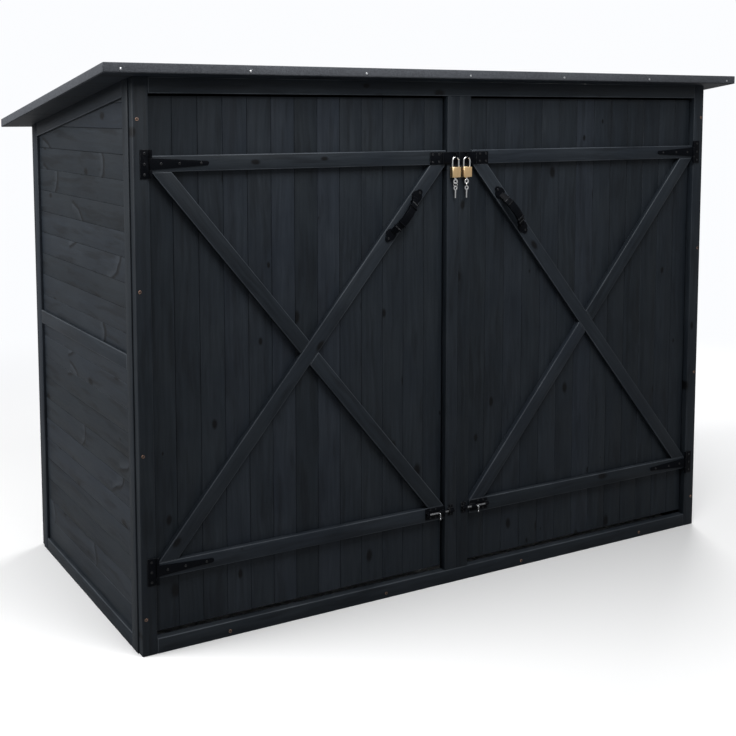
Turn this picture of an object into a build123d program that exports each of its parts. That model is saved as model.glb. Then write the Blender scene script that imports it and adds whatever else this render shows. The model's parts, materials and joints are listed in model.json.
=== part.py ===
from build123d import *
import math
import os

# Timber bike store: two braced doors at the front, a single-pitch felt roof falling to the back.
# X runs along the front, Y from the front to the back, Z up. The origin is on the ground
# under the middle of the roof.

# Overall form
FRONT_WIDTH = 2000
BODY_DEPTH = 960
FRONT_HEIGHT = 1516
ROOF_FALL = 0.1375
FRONT_OVERHANG = 53
BACK_OVERHANG = 26
SIDE_OVERHANG = 91
DECK_THICK = 22
FELT_THICK = 3

# Framing timber and boards
TIMBER_WIDTH = 42
TIMBER_DEPTH = 28
BOARD_THICK = 10
BOARD_RECESS = 9
BOARD_GROOVE = 2
WALL_COVER = 67.1
DOOR_COVER = 70.7
DOOR_FIRST_COVER = 63.5
SIDE_PROUD = 4
MID_RAIL_LOW = 755

# Doors
DOOR_GAP = 5
DOOR_LOW = 55
DOOR_HIGH = 1468
LEDGE_THICK = 18
LOW_LEDGE = 205
HIGH_LEDGE = 1274

# Strap hinges
PIN_OUT = 4
KNUCKLE_RADIUS = 4
PIN_RADIUS = 1.8
PIN_PLAY = 0.3
PLATE_HIGH = 74
PLATE_WIDE = 23
PLATE_THICK = 2.5
STRAP_LONG = 160
STRAP_ROOT = 30
STRAP_TIP = 11

# Hasps, staples and padlocks
HASP_HIGH = 36
HASP_LEAF = 42
HASP_OUTER = 104
HASP_STAND = 2
STAPLE_OFFSET = 20
STAPLE_WIRE = 2
STAPLE_LOW = 1290.5
STAPLE_HIGH = 1305
STAPLE_OUT = 18
LOCK_WIDE = 30
LOCK_HIGH = 31
LOCK_THICK = 15
LOCK_BASE = 1236
SHACKLE_WIRE = 2.4
SHACKLE_SPAN = 22
SHACKLE_TOP = 1295.2
KEY_THICK = 1.8
WIRE_SIDES = 8
BEND_STEPS = 5
BOW_SIDES = 12

# Barrel bolts
BOLT_HEIGHT = 229
BOLT_RADIUS = 3.5
BOLT_OUT = 7
BOLT_TIP = 20
BOLT_LONG = 88
BOLT_PLAY = 0.7
HOUSING_INNER = 47
HOUSING_LONG = 67
HOUSING_HIGH = 34
BRACKET_THICK = 2
KNOB_AT = 70
KNOB_OUT = 9
KNOB_DROP = 16
KNOB_WIRE = 2.4

# Bow handles
HANDLE_HEIGHT = 1131
HANDLE_SPAN = 136
HANDLE_LONG = 186
HANDLE_WIDE = 24
HANDLE_PAD = 34
HANDLE_RISE = 29
HANDLE_THICK = 7

HALF_FRONT = FRONT_WIDTH / 2
HALF_BODY = HALF_FRONT + SIDE_PROUD
HALF_ROOF = HALF_FRONT + SIDE_OVERHANG
FRONT_EDGE = -(FRONT_OVERHANG + BODY_DEPTH + BACK_OVERHANG) / 2
BACK_EDGE = -FRONT_EDGE
FRONT_FACE = FRONT_EDGE + FRONT_OVERHANG
BACK_FACE = FRONT_FACE + BODY_DEPTH
FRAME_BACK = FRONT_FACE + TIMBER_DEPTH
PANEL_BACK = BACK_FACE - TIMBER_DEPTH
DOOR_OUTER = HALF_FRONT - TIMBER_WIDTH - DOOR_GAP
DOOR_INNER = TIMBER_WIDTH + DOOR_GAP
HINGE_X = HALF_FRONT - TIMBER_WIDTH - DOOR_GAP / 2
PIN_Y = FRONT_FACE - PIN_OUT
BRACE_LOW = LOW_LEDGE + TIMBER_WIDTH
BRACE_RISE = HIGH_LEDGE - BRACE_LOW


def block(x_range, y_range, z_range):
    """A square-cut piece between the two limits given along each axis."""
    size = [high - low for low, high in (x_range, y_range, z_range)]
    middle = [(high + low) / 2 for low, high in (x_range, y_range, z_range)]
    return Pos(*middle) * Box(*size)


def across(outline, x_low, x_high):
    """An outline of (y, z) points carried along X between two limits."""
    face = make_face(Polyline(*[(x_low, y, z) for y, z in outline], close=True))
    return extrude(face, amount=x_high - x_low, dir=(1, 0, 0))


def facing(outline, y_front, y_back):
    """An outline of (x, z) points carried back along Y between two limits."""
    face = make_face(Polyline(*[(x, y_front, z) for x, z in outline], close=True))
    return extrude(face, amount=y_back - y_front, dir=(0, 1, 0))


def standing(outline, z_low, z_high):
    """An outline of (x, y) points carried up along Z between two limits."""
    face = make_face(Polyline(*[(x, y, z_low) for x, y in outline], close=True))
    return extrude(face, amount=z_high - z_low, dir=(0, 0, 1))


def joints(start, end, cover):
    """Places of the joints between boards of equal cover, from start up to end."""
    count = math.ceil((end - start) / cover)
    return [start + cover * step for step in range(1, count)]


def roof_line(y, rise=0):
    """Height of the roof's underside at a depth y, or of a line parallel to it."""
    return FRONT_HEIGHT - ROOF_FALL * (y - FRONT_FACE) + rise


def sloped(x_low, x_high, y_low, y_high, drop, rise=0):
    """A length that follows the roof's fall, between two lines parallel to it."""
    outline = [
        (y_low, roof_line(y_low, drop)),
        (y_high, roof_line(y_high, drop)),
        (y_high, roof_line(y_high, rise)),
        (y_low, roof_line(y_low, rise)),
    ]
    return across(outline, x_low, x_high)


def upright(x_low, x_high, y_low, y_high, z_low):
    """A piece that stands from z_low up to the sloping underside of the roof."""
    outline = [
        (y_low, z_low),
        (y_high, z_low),
        (y_high, roof_line(y_high)),
        (y_low, roof_line(y_low)),
    ]
    return across(outline, x_low, x_high)


def mirrored(shape, side):
    """The shape as drawn on the right, or its mirror image on the left."""
    return shape if side > 0 else mirror(shape, about=Plane.YZ)


def front_frame():
    """Two full-height posts, rails between them, and two stiles at the middle."""
    depth = (FRONT_FACE, FRAME_BACK)
    inner = HALF_FRONT - TIMBER_WIDTH
    top = roof_line(FRONT_FACE) - TIMBER_WIDTH
    parts = {
        "front_top_rail": upright(-inner, inner, *depth, top),
        "front_bottom_rail": block((-inner, inner), depth, (0, TIMBER_WIDTH)),
    }
    post = upright(inner, HALF_FRONT, *depth, 0)
    stile = block((0, TIMBER_WIDTH), depth, (TIMBER_WIDTH, top))
    for name, side in (("left", -1), ("right", 1)):
        parts[f"front_{name}_post"] = mirrored(post, side)
        parts[f"centre_stile_{name}"] = mirrored(stile, side)
    return parts


def side_panel():
    """One end wall: two stiles, sloping top rail, middle rail, bottom rail and boards."""
    inner, outer = HALF_BODY - TIMBER_DEPTH, HALF_BODY
    front_in = FRAME_BACK + TIMBER_WIDTH
    back_in = PANEL_BACK - TIMBER_WIDTH
    face = outer - BOARD_RECESS
    stiles = [
        upright(inner, outer, FRAME_BACK, front_in, 0),
        upright(inner, outer, back_in, PANEL_BACK, 0),
    ]
    rails = [
        sloped(inner, outer, front_in, back_in, -TIMBER_WIDTH),
        block((face, outer), (front_in, back_in), (MID_RAIL_LOW, MID_RAIL_LOW + TIMBER_WIDTH)),
        block((inner, outer), (front_in, back_in), (0, TIMBER_WIDTH)),
    ]
    boards = across(
        [
            (front_in, TIMBER_WIDTH),
            (back_in, TIMBER_WIDTH),
            (back_in, roof_line(back_in, -TIMBER_WIDTH)),
            (front_in, roof_line(front_in, -TIMBER_WIDTH)),
        ],
        face - BOARD_THICK,
        face,
    )
    for z in joints(TIMBER_WIDTH, roof_line(front_in, -TIMBER_WIDTH), WALL_COVER):
        groove = [(face, z - BOARD_GROOVE), (face, z + BOARD_GROOVE), (face - BOARD_GROOVE, z)]
        boards -= facing(groove, front_in, back_in)
    return {"stiles": stiles, "rails": rails, "boards": [boards]}


def side_panels():
    parts = {}
    for name, side in (("left", -1), ("right", 1)):
        for piece, solids in side_panel().items():
            parts[f"{name}_side_{piece}"] = [mirrored(solid, side) for solid in solids]
    return parts


def back_panel():
    """The rear wall, in two bays with a stile between them."""
    depth = (PANEL_BACK, BACK_FACE)
    face = BACK_FACE - BOARD_RECESS
    half_stile = TIMBER_WIDTH / 2
    top = roof_line(BACK_FACE) - TIMBER_WIDTH
    inner = HALF_FRONT - TIMBER_WIDTH
    post = upright(inner, HALF_FRONT, *depth, 0)
    stiles = [mirrored(post, side) for side in (-1, 1)]
    stiles.append(block((-half_stile, half_stile), depth, (TIMBER_WIDTH, top)))
    rails = [
        upright(-inner, inner, *depth, top),
        block((-inner, inner), depth, (0, TIMBER_WIDTH)),
    ]
    boards = []
    for side in (-1, 1):
        bay = sorted((side * half_stile, side * inner))
        rails.append(block(bay, (face, BACK_FACE), (MID_RAIL_LOW, MID_RAIL_LOW + TIMBER_WIDTH)))
        lining = block(bay, (face - BOARD_THICK, face), (TIMBER_WIDTH, top))
        for z in joints(TIMBER_WIDTH, top, WALL_COVER):
            groove = [(face, z - BOARD_GROOVE), (face, z + BOARD_GROOVE), (face - BOARD_GROOVE, z)]
            lining -= across(groove, *bay)
        boards.append(lining)
    return {"back_stiles": stiles, "back_rails": rails, "back_boards": boards}


def roof():
    """Board deck wrapped in felt over its top and four edges, with a bearer under it."""
    edge = FELT_THICK
    deck_top = DECK_THICK
    deck = sloped(
        -HALF_ROOF + edge, HALF_ROOF - edge, FRONT_EDGE + edge, BACK_EDGE - edge, 0, deck_top
    )
    cover = sloped(-HALF_ROOF, HALF_ROOF, FRONT_EDGE, BACK_EDGE, 0, deck_top + FELT_THICK)
    middle = (FRAME_BACK + PANEL_BACK) / 2
    half_timber = TIMBER_DEPTH / 2
    span = HALF_BODY - TIMBER_DEPTH
    bearer = sloped(-span, span, middle - half_timber, middle + half_timber, -TIMBER_WIDTH)
    return {"roof_deck": deck, "roof_felt": cover - deck, "roof_bearer": bearer}


def brace_line(height):
    """Distance of a brace's middle line from the shed's centre, at a height."""
    slant = math.hypot(BRACE_RISE, DOOR_OUTER - DOOR_INNER) / BRACE_RISE
    half_cut = TIMBER_WIDTH * slant / 2
    run = DOOR_OUTER - DOOR_INNER - 2 * half_cut
    return DOOR_INNER + half_cut + run * (HIGH_LEDGE - height) / BRACE_RISE


def brace_angle():
    """Lean of a brace from the vertical, in degrees."""
    return math.degrees(math.atan2(brace_line(BRACE_LOW) - brace_line(HIGH_LEDGE), BRACE_RISE))


def braces():
    """The through brace from the inner top corner, and the two halves cut to meet it."""
    half_cut = TIMBER_WIDTH / math.cos(math.radians(brace_angle())) / 2
    top, low = brace_line(HIGH_LEDGE), brace_line(BRACE_LOW)
    depth = (FRONT_FACE, FRONT_FACE + LEDGE_THICK)
    through = [
        (top - half_cut, HIGH_LEDGE),
        (top + half_cut, HIGH_LEDGE),
        (low + half_cut, BRACE_LOW),
        (low - half_cut, BRACE_LOW),
    ]
    crossing = [(top + low - x, z) for x, z in through]
    long_brace = facing(through, *depth)
    halves = facing(crossing, *depth) - long_brace
    return long_brace, halves.solids()


def hinge_knuckle(height, length, radius):
    """A round length on the hinge pin's line, centred at a height."""
    return Pos(HINGE_X, PIN_Y, height) * Cylinder(radius, length)


def hinge_heights():
    return (LOW_LEDGE + TIMBER_WIDTH / 2, HIGH_LEDGE + TIMBER_WIDTH / 2)


def hinge_plate(height):
    """Post half of a strap hinge: the plate, its two outer knuckles and the pin."""
    plate = block(
        (HINGE_X + KNUCKLE_RADIUS - 1, HINGE_X + KNUCKLE_RADIUS + PLATE_WIDE),
        (FRONT_FACE - PLATE_THICK, FRONT_FACE),
        (height - PLATE_HIGH / 2, height + PLATE_HIGH / 2),
    )
    knuckle = (PLATE_HIGH - STRAP_ROOT) / 2 - 0.5
    for end in (-1, 1):
        centre = height + end * (PLATE_HIGH - knuckle) / 2
        plate += hinge_knuckle(centre, knuckle, KNUCKLE_RADIUS)
    middle = block(
        (HINGE_X - KNUCKLE_RADIUS, HINGE_X + KNUCKLE_RADIUS + 1),
        (PIN_Y - KNUCKLE_RADIUS, FRONT_FACE),
        (height - STRAP_ROOT / 2 - 0.5, height + STRAP_ROOT / 2 + 0.5),
    )
    return plate - middle + hinge_knuckle(height, PLATE_HIGH, PIN_RADIUS)


def hinge_strap(height):
    """Door half of a strap hinge: tapered strap with a round tip, and its knuckle."""
    tip = HINGE_X - STRAP_LONG + STRAP_TIP / 2
    strap = facing(
        [
            (HINGE_X, height - STRAP_ROOT / 2),
            (HINGE_X, height + STRAP_ROOT / 2),
            (tip, height + STRAP_TIP / 2),
            (tip, height - STRAP_TIP / 2),
        ],
        FRONT_FACE - PLATE_THICK,
        FRONT_FACE,
    )
    centre = FRONT_FACE - PLATE_THICK / 2
    strap += Pos(tip, centre, height) * Rot(90, 0, 0) * Cylinder(STRAP_TIP / 2, PLATE_THICK)
    strap += hinge_knuckle(height, STRAP_ROOT, KNUCKLE_RADIUS)
    return strap - hinge_knuckle(height, STRAP_ROOT + 2, PIN_RADIUS + PIN_PLAY)


def hasp():
    """Leaf on the door, knuckle, and slotted flap lying over the stile to the centre."""
    height = HIGH_LEDGE + TIMBER_WIDTH / 2 - 2
    z_range = (height - HASP_HIGH / 2, height + HASP_HIGH / 2)
    knuckle = HASP_OUTER - HASP_LEAF
    leaf_front = FRONT_FACE - PLATE_THICK
    flap_back = FRONT_FACE - HASP_STAND
    leaf = block((knuckle, HASP_OUTER), (leaf_front, FRONT_FACE), z_range)
    flap = block((2, knuckle), (flap_back - PLATE_THICK, flap_back), z_range)
    slot = block(
        (STAPLE_OFFSET - 3.5, STAPLE_OFFSET + 3.5),
        (flap_back - 2 * PLATE_THICK, flap_back + 1),
        (STAPLE_LOW - 4, STAPLE_HIGH + 3),
    )
    barrel = Pos(knuckle, leaf_front - 1, height) * Cylinder(3, HASP_HIGH)
    barrel -= block((knuckle - 5, knuckle + 5), (FRONT_FACE, FRONT_FACE + 5), z_range)
    return leaf + (flap - slot) + barrel


def bent_path(points, bend):
    """Points along straight runs joined by square bends, each bend in short steps."""
    corners = [Vector(*point) for point in points]
    path = [corners[0]]
    for before, corner, after in zip(corners, corners[1:], corners[2:]):
        back, ahead = (before - corner).normalized(), (after - corner).normalized()
        centre = corner + (back + ahead) * bend
        for step in range(BEND_STEPS + 1):
            turn = math.radians(90 * step / BEND_STEPS)
            point = centre - (ahead * math.cos(turn) + back * math.sin(turn)) * bend
            if (point - path[-1]).length > bend / 100:
                path.append(point)
    return path + [corners[-1]]


def wire(points, radius, bend):
    """Many-sided wire along straight runs joined by square bends."""
    path = Polyline(*bent_path(points, bend))
    section = Plane(path @ 0, z_dir=path % 0) * RegularPolygon(radius, WIRE_SIDES)
    return sweep(section, path=path, transition=Transition.RIGHT)


def hasp_staple():
    """Loop of wire standing out of the stile, through the slot of the flap."""
    outer = FRONT_FACE - STAPLE_OUT + STAPLE_WIRE
    points = [
        (STAPLE_OFFSET, FRONT_FACE, STAPLE_LOW),
        (STAPLE_OFFSET, outer, STAPLE_LOW),
        (STAPLE_OFFSET, outer, STAPLE_HIGH),
        (STAPLE_OFFSET, FRONT_FACE, STAPLE_HIGH),
    ]
    return wire(points, STAPLE_WIRE, 5)


def lock_depth():
    """Depth of the plane in which a padlock hangs from its staple."""
    return FRONT_FACE - 10


def padlock_body():
    body = block(
        (STAPLE_OFFSET - LOCK_WIDE / 2, STAPLE_OFFSET + LOCK_WIDE / 2),
        (lock_depth() - LOCK_THICK / 2, lock_depth() + LOCK_THICK / 2),
        (LOCK_BASE, LOCK_BASE + LOCK_HIGH),
    )
    return chamfer(body.edges(), 1.2)


def padlock_shackle():
    half = SHACKLE_SPAN / 2
    base = LOCK_BASE + LOCK_HIGH
    points = [
        (STAPLE_OFFSET - half, lock_depth(), base),
        (STAPLE_OFFSET - half, lock_depth(), SHACKLE_TOP),
        (STAPLE_OFFSET + half, lock_depth(), SHACKLE_TOP),
        (STAPLE_OFFSET + half, lock_depth(), base),
    ]
    return wire(points, SHACKLE_WIRE, half)


def loop(outer, inner, thick):
    """A flat many-sided ring in the plane of the front."""
    outline = RegularPolygon(outer, BOW_SIDES) - RegularPolygon(inner, BOW_SIDES)
    return Rot(90, 0, 0) * extrude(outline, amount=thick / 2, both=True)


def key(bow_height, bow_radius, blade_length, blade_up):
    """A flat key with a pierced bow and a blade that points up or down."""
    reach = bow_radius * 0.8 + blade_length / 2
    blade = Pos(0, 0, reach if blade_up else -reach) * Box(4.5, KEY_THICK, blade_length)
    flat = loop(bow_radius, bow_radius * 0.45, KEY_THICK) + blade
    return Pos(STAPLE_OFFSET, lock_depth(), bow_height) * flat


def padlock_keys():
    """One key in the lock, and its spare hanging from it on a small ring."""
    first = key(LOCK_BASE - 12, 8, 5.6, True)
    second = key(LOCK_BASE - 31, 7, 24, False)
    ring = Pos(STAPLE_OFFSET, lock_depth(), LOCK_BASE - 21.5) * Rot(0, 0, 55) * loop(6.9, 5.1, 1.6)
    return first + ring + second


def bracket(x_low, x_high, height):
    """Pressed strap that arches over the bolt, with a flat foot above and below."""
    arch = BOLT_RADIUS + BOLT_PLAY
    outer = arch + BRACKET_THICK
    middle = FRONT_FACE - BOLT_OUT
    length = x_high - x_low
    centre = (x_low + x_high) / 2
    feet = block((x_low, x_high), (FRONT_FACE - BRACKET_THICK, FRONT_FACE), height)
    legs = block((x_low, x_high), (middle, FRONT_FACE), (BOLT_HEIGHT - outer, BOLT_HEIGHT + outer))
    crown = Pos(centre, middle, BOLT_HEIGHT) * Rot(0, 90, 0) * Cylinder(outer, length)
    tunnel = Pos(centre, middle, BOLT_HEIGHT) * Rot(0, 90, 0) * Cylinder(arch, length + 2)
    tunnel += block(
        (x_low - 1, x_high + 1),
        (middle, FRONT_FACE - BRACKET_THICK),
        (BOLT_HEIGHT - arch, BOLT_HEIGHT + arch),
    )
    return feet + legs + crown - tunnel


def bolt_housing():
    """Long foot plate on the ledge with an arch at each end and an open run between."""
    outer = HOUSING_INNER + HOUSING_LONG
    height = (BOLT_HEIGHT - HOUSING_HIGH / 2, BOLT_HEIGHT + HOUSING_HIGH / 2)
    plate = block((HOUSING_INNER, outer), (FRONT_FACE - BRACKET_THICK, FRONT_FACE), height)
    for start, end in ((HOUSING_INNER + 2, HOUSING_INNER + 18), (outer - 10, outer - 1)):
        plate += bracket(start, end, height)
    return plate


def bolt_keeper():
    height = (BOLT_HEIGHT - HOUSING_HIGH / 2, BOLT_HEIGHT + HOUSING_HIGH / 2)
    return bracket(15, 33, height)


def sliding_bolt():
    """Round bolt, thrown into its keeper, with a bent-down knob."""
    middle = FRONT_FACE - BOLT_OUT
    rod = Pos(BOLT_TIP + BOLT_LONG / 2, middle, BOLT_HEIGHT) * Rot(0, 90, 0)
    shape = rod * Cylinder(BOLT_RADIUS, BOLT_LONG)
    knob = [
        (KNOB_AT, middle, BOLT_HEIGHT),
        (KNOB_AT, middle - KNOB_OUT, BOLT_HEIGHT),
        (KNOB_AT, middle - KNOB_OUT, BOLT_HEIGHT - KNOB_DROP),
    ]
    shape += wire(knob, KNOB_WIRE, 4)
    end = chamfer(Cylinder(3.4, 6).edges().filter_by(GeomType.CIRCLE), 1)
    return shape + Pos(KNOB_AT, middle - KNOB_OUT, BOLT_HEIGHT - KNOB_DROP) * end


def handle():
    """Cast bow handle lying along the through brace, between two rounded pads."""
    half, rise, thick = HANDLE_SPAN / 2, HANDLE_RISE, HANDLE_THICK
    pad = HANDLE_LONG / 2 - half
    inner = half - thick * 1.6
    with BuildPart() as bow:
        with BuildSketch(Plane.XZ):
            with BuildLine():
                ThreePointArc((-half, 0), (0, rise), (half, 0))
                Line((half, 0), (inner, 0))
                ThreePointArc((inner, 0), (0, rise - thick), (-inner, 0))
                Line((-inner, 0), (-half, 0))
            make_face()
        extrude(amount=HANDLE_WIDE / 2, both=True)
        with BuildSketch(Plane.XY):
            Ellipse(half * 1.25, HANDLE_WIDE / 2)
        extrude(amount=rise + 1, mode=Mode.INTERSECT)
    shape = bow.part
    for end in (-1, 1):
        for reach, radius in ((half + 1, HANDLE_PAD / 2), (half + pad - 9, 9)):
            shape += Pos(end * reach, 0, 1.75) * Cylinder(radius, 3.5)
        for reach, lift in ((0.66, 0.50), (0.42, 0.83)):
            collar = Pos(end * half * reach, 0, rise * lift - 1) * Rot(0, end * 35, 0)
            shape += collar * Box(2.5, HANDLE_WIDE + 2, thick + 3)
    lean = Pos(brace_line(HANDLE_HEIGHT), FRONT_FACE, HANDLE_HEIGHT) * Rot(0, 90 - brace_angle(), 0)
    return lean * Rot(90, 0, 0) * shape


def door():
    """One leaf, drawn on the right: boards, ledges, braces and the hardware on it."""
    face = FRONT_FACE + LEDGE_THICK
    width = (DOOR_INNER, DOOR_OUTER)
    boards = block(width, (face, face + BOARD_THICK), (DOOR_LOW, DOOR_HIGH))
    first = DOOR_INNER + DOOR_FIRST_COVER
    for x in [first] + joints(first, DOOR_OUTER, DOOR_COVER):
        groove = [(x - BOARD_GROOVE, face), (x + BOARD_GROOVE, face), (x, face + BOARD_GROOVE)]
        boards -= standing(groove, DOOR_LOW, DOOR_HIGH)
    ledges = [
        block(width, (FRONT_FACE, face), (low, low + TIMBER_WIDTH)) for low in (LOW_LEDGE, HIGH_LEDGE)
    ]
    long_brace, short_braces = braces()
    return {
        "boards": [boards],
        "ledges": ledges,
        "long_brace": [long_brace],
        "short_braces": short_braces,
        "hinge_straps": [hinge_strap(height) for height in hinge_heights()],
        "hasp": [hasp()],
        "bolt_housing": [bolt_housing()],
        "handle": [handle()],
    }


def doors():
    parts = {}
    for name, side in (("left", -1), ("right", 1)):
        for piece, solids in door().items():
            parts[f"{name}_door_{piece}"] = [mirrored(solid, side) for solid in solids]
        parts[f"{name}_bolt"] = mirrored(sliding_bolt(), side)
        plates = [hinge_plate(height) for height in hinge_heights()]
        parts[f"{name}_hinge_plates"] = [mirrored(plate, side) for plate in plates]
    return parts


def centre_hardware():
    """Pieces fixed to, or hanging from, the two centre stiles."""
    pieces = {
        "hasp_staples": hasp_staple(),
        "bolt_keepers": bolt_keeper(),
        "padlock_bodies": padlock_body(),
        "padlock_shackles": padlock_shackle(),
        "padlock_keys": padlock_keys(),
    }
    return {name: [mirrored(shape, side) for side in (-1, 1)] for name, shape in pieces.items()}


def main():
    os.makedirs("parts", exist_ok=True)
    for group in (front_frame, side_panels, back_panel, roof, doors, centre_hardware):
        for name, shape in group().items():
            solids = shape if isinstance(shape, list) else [shape]
            whole = solids[0] if len(solids) == 1 else Compound(children=solids)
            export_step(whole, f"parts/{name}.step")


main()
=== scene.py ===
import json
import math
import random

import bpy
from mathutils import Matrix, Vector

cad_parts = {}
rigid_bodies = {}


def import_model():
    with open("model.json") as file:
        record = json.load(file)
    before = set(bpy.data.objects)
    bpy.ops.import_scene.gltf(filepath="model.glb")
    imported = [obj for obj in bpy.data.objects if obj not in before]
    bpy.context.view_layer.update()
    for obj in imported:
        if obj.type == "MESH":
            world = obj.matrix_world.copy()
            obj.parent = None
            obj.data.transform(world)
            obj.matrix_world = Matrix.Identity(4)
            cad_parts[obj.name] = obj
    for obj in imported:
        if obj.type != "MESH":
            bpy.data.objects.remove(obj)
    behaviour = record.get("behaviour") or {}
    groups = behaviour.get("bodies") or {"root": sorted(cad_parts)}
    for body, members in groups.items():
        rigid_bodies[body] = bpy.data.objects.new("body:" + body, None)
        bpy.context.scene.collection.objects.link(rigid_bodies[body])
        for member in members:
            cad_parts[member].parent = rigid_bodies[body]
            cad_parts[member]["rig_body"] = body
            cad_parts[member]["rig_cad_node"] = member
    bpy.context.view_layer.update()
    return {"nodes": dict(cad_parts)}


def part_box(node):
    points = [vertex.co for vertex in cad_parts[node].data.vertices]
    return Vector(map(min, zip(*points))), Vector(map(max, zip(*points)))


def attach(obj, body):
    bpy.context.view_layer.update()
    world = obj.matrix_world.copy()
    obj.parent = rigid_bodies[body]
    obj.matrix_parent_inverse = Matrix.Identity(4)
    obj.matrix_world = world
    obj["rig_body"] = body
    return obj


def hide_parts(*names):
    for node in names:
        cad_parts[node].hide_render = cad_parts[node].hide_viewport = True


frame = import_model()

# The studio: a plain pale floor under an even white surround, with soft lights on the left,
# above the front and behind the right. The camera stands to the left of the front, about
# 1.4 m up, and looks slightly down.
CAMERA_PLACE = (-2.002, -3.324, 1.423)
CAMERA_TURN = math.radians(30.59)
CAMERA_TILT = math.radians(5.56)
CAMERA_LENS = 57.6
CAMERA_SENSOR = 36
CAMERA_SHIFT = -0.19
SURROUND_COLOUR = (0.97, 0.98, 1.0, 1)
SURROUND_SEEN = 1.0
FILL_LIGHT = 0.36
FLOOR_SIZE = 60
FLOOR_SEEN = 0.88
FLOOR_BOUNCE = 0.30
HAZE_FROM = 1.15
HAZE_TO = 4.2


def shader_node(tree, kind, inputs=None, **settings):
    """Adds a node, with settings as properties and inputs as values or (node, output) links."""
    made = tree.nodes.new(kind)
    for name, value in settings.items():
        setattr(made, name, value)
    for name, value in (inputs or {}).items():
        if isinstance(value, tuple) and isinstance(value[0], bpy.types.Node):
            feed(tree, value, made, name)
        else:
            made.inputs[name].default_value = value
    return made


def feed(tree, source, node, name):
    """Links a (node, output) source to one of a node's inputs."""
    tree.links.new(source[0].outputs[source[1]], node.inputs[name])


def new_material(name):
    """A material with only its output and a main shader."""
    made = bpy.data.materials.new(name)
    made.use_nodes = True
    return made, made.node_tree, made.node_tree.nodes["Principled BSDF"]


def seen_or_lit(tree, seen, lit):
    """One value for what the camera sees, and another for the light that falls on the object."""
    path = shader_node(tree, "ShaderNodeLightPath")
    inputs = {"Value": (path, "Is Camera Ray"), "To Min": lit, "To Max": seen}
    return shader_node(tree, "ShaderNodeMapRange", inputs), "Result"


def clear_selection():
    bpy.ops.object.select_all(action="DESELECT")


def pick(obj):
    """Makes one object the only selected and active one."""
    clear_selection()
    obj.select_set(True)
    bpy.context.view_layer.objects.active = obj


def soft_light(place, aim, size, power):
    """A square softbox that faces a point."""
    bpy.ops.object.light_add(type="AREA", location=place)
    lamp = bpy.context.object
    lamp.data.size = size
    lamp.data.energy = power
    lamp.rotation_euler = (Vector(aim) - Vector(place)).to_track_quat("-Z", "Y").to_euler()


clear_selection()
camera_turn = (math.pi / 2 - CAMERA_TILT, 0, -CAMERA_TURN)
bpy.ops.object.camera_add(location=CAMERA_PLACE, rotation=camera_turn)
camera = bpy.context.object
camera.data.lens = CAMERA_LENS
camera.data.sensor_width = CAMERA_SENSOR
camera.data.shift_y = CAMERA_SHIFT
bpy.context.scene.camera = camera
bpy.context.scene.view_settings.view_transform = "Standard"

world = bpy.data.worlds.new("studio_surround")
world.use_nodes = True
surround = world.node_tree.nodes["Background"]
surround.inputs["Color"].default_value = SURROUND_COLOUR
strength = seen_or_lit(world.node_tree, SURROUND_SEEN, FILL_LIGHT)
feed(world.node_tree, strength, surround, "Strength")
bpy.context.scene.world = world

soft_light((-3.9, 0.5, 2.7), (-1, 0.3, 1.0), 1.9, 158)
soft_light((-0.3, -1.7, 2.9), (0, -0.4, 1.2), 1.4, 58)
soft_light((3.4, 2.9, 2.5), (0.6, 0.3, 0.7), 2.4, 150)

bpy.ops.mesh.primitive_plane_add(size=FLOOR_SIZE, location=(0, 0, 0))
floor = bpy.context.object
floor.name = "studio_floor"
floor_finish, tree, shader = new_material("floor_finish")
shader.inputs["Roughness"].default_value = 0.9
feed(tree, seen_or_lit(tree, FLOOR_SEEN, FLOOR_BOUNCE), shader, "Base Color")
place = (shader_node(tree, "ShaderNodeTexCoord"), "Object")
reach = (shader_node(tree, "ShaderNodeVectorMath", {0: place}, operation="LENGTH"), "Value")
fade = shader_node(
    tree, "ShaderNodeMapRange", {"Value": reach, "From Min": HAZE_FROM, "From Max": HAZE_TO},
    interpolation_type="SMOOTHSTEP",
)
strength = seen_or_lit(tree, SURROUND_SEEN, FILL_LIGHT)
haze = shader_node(tree, "ShaderNodeEmission", {"Color": SURROUND_COLOUR, "Strength": strength})
blend = shader_node(
    tree, "ShaderNodeMixShader", {"Fac": (fade, "Result"), 1: (shader, "BSDF"), 2: (haze, "Emission")}
)
feed(tree, (blend, "Shader"), tree.nodes["Material Output"], "Surface")
floor.data.materials.append(floor_finish)

# Framing timber: planed softwood, 42 by 28 mm, with eased arrises and a dark anthracite
# stain brushed over it. Grain runs along each piece; the edges are lighter, partly as thinner
# stain and partly as a painted highlight, and upward faces carry painted light.
STAIN_DARK = (0.0076, 0.0104, 0.0140, 1)
STAIN_LIGHT = (0.0174, 0.0230, 0.0300, 1)
# Lighter stain: worn arrises and the crescents' flanks, and also a painted highlight along the arrises.
STAIN_WORN_AND_HIGHLIGHT = (0.062, 0.071, 0.083, 1)
STAIN_POOLED = (0.0030, 0.0036, 0.0046, 1)
KNOT_DARK = (0.0016, 0.0019, 0.0026, 1)
CLOUDS = [(0.3, (0.82, 0.84, 0.88, 1)), (0.7, (1.20, 1.15, 1.10, 1))]
PIECE_TONES = [(0.0, (0.80, 0.82, 0.82, 1)), (0.5, (1, 1, 1, 1)), (1.0, (1.20, 1.18, 1.22, 1))]
ARRIS = 0.0024
# Upright pieces get a weaker painted highlight on their edges than level and slanting ones.
UPRIGHT_WEAR_AND_HIGHLIGHT = 0.15
# Painted light: faces pointing up are lightened as if lit from above.
TOP_FACE_PAINTED_LIGHT = 0.3
X_WAY, Y_WAY, Z_WAY = Vector((1, 0, 0)), Vector((0, 1, 0)), Vector((0, 0, 1))
random.seed(42)


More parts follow.
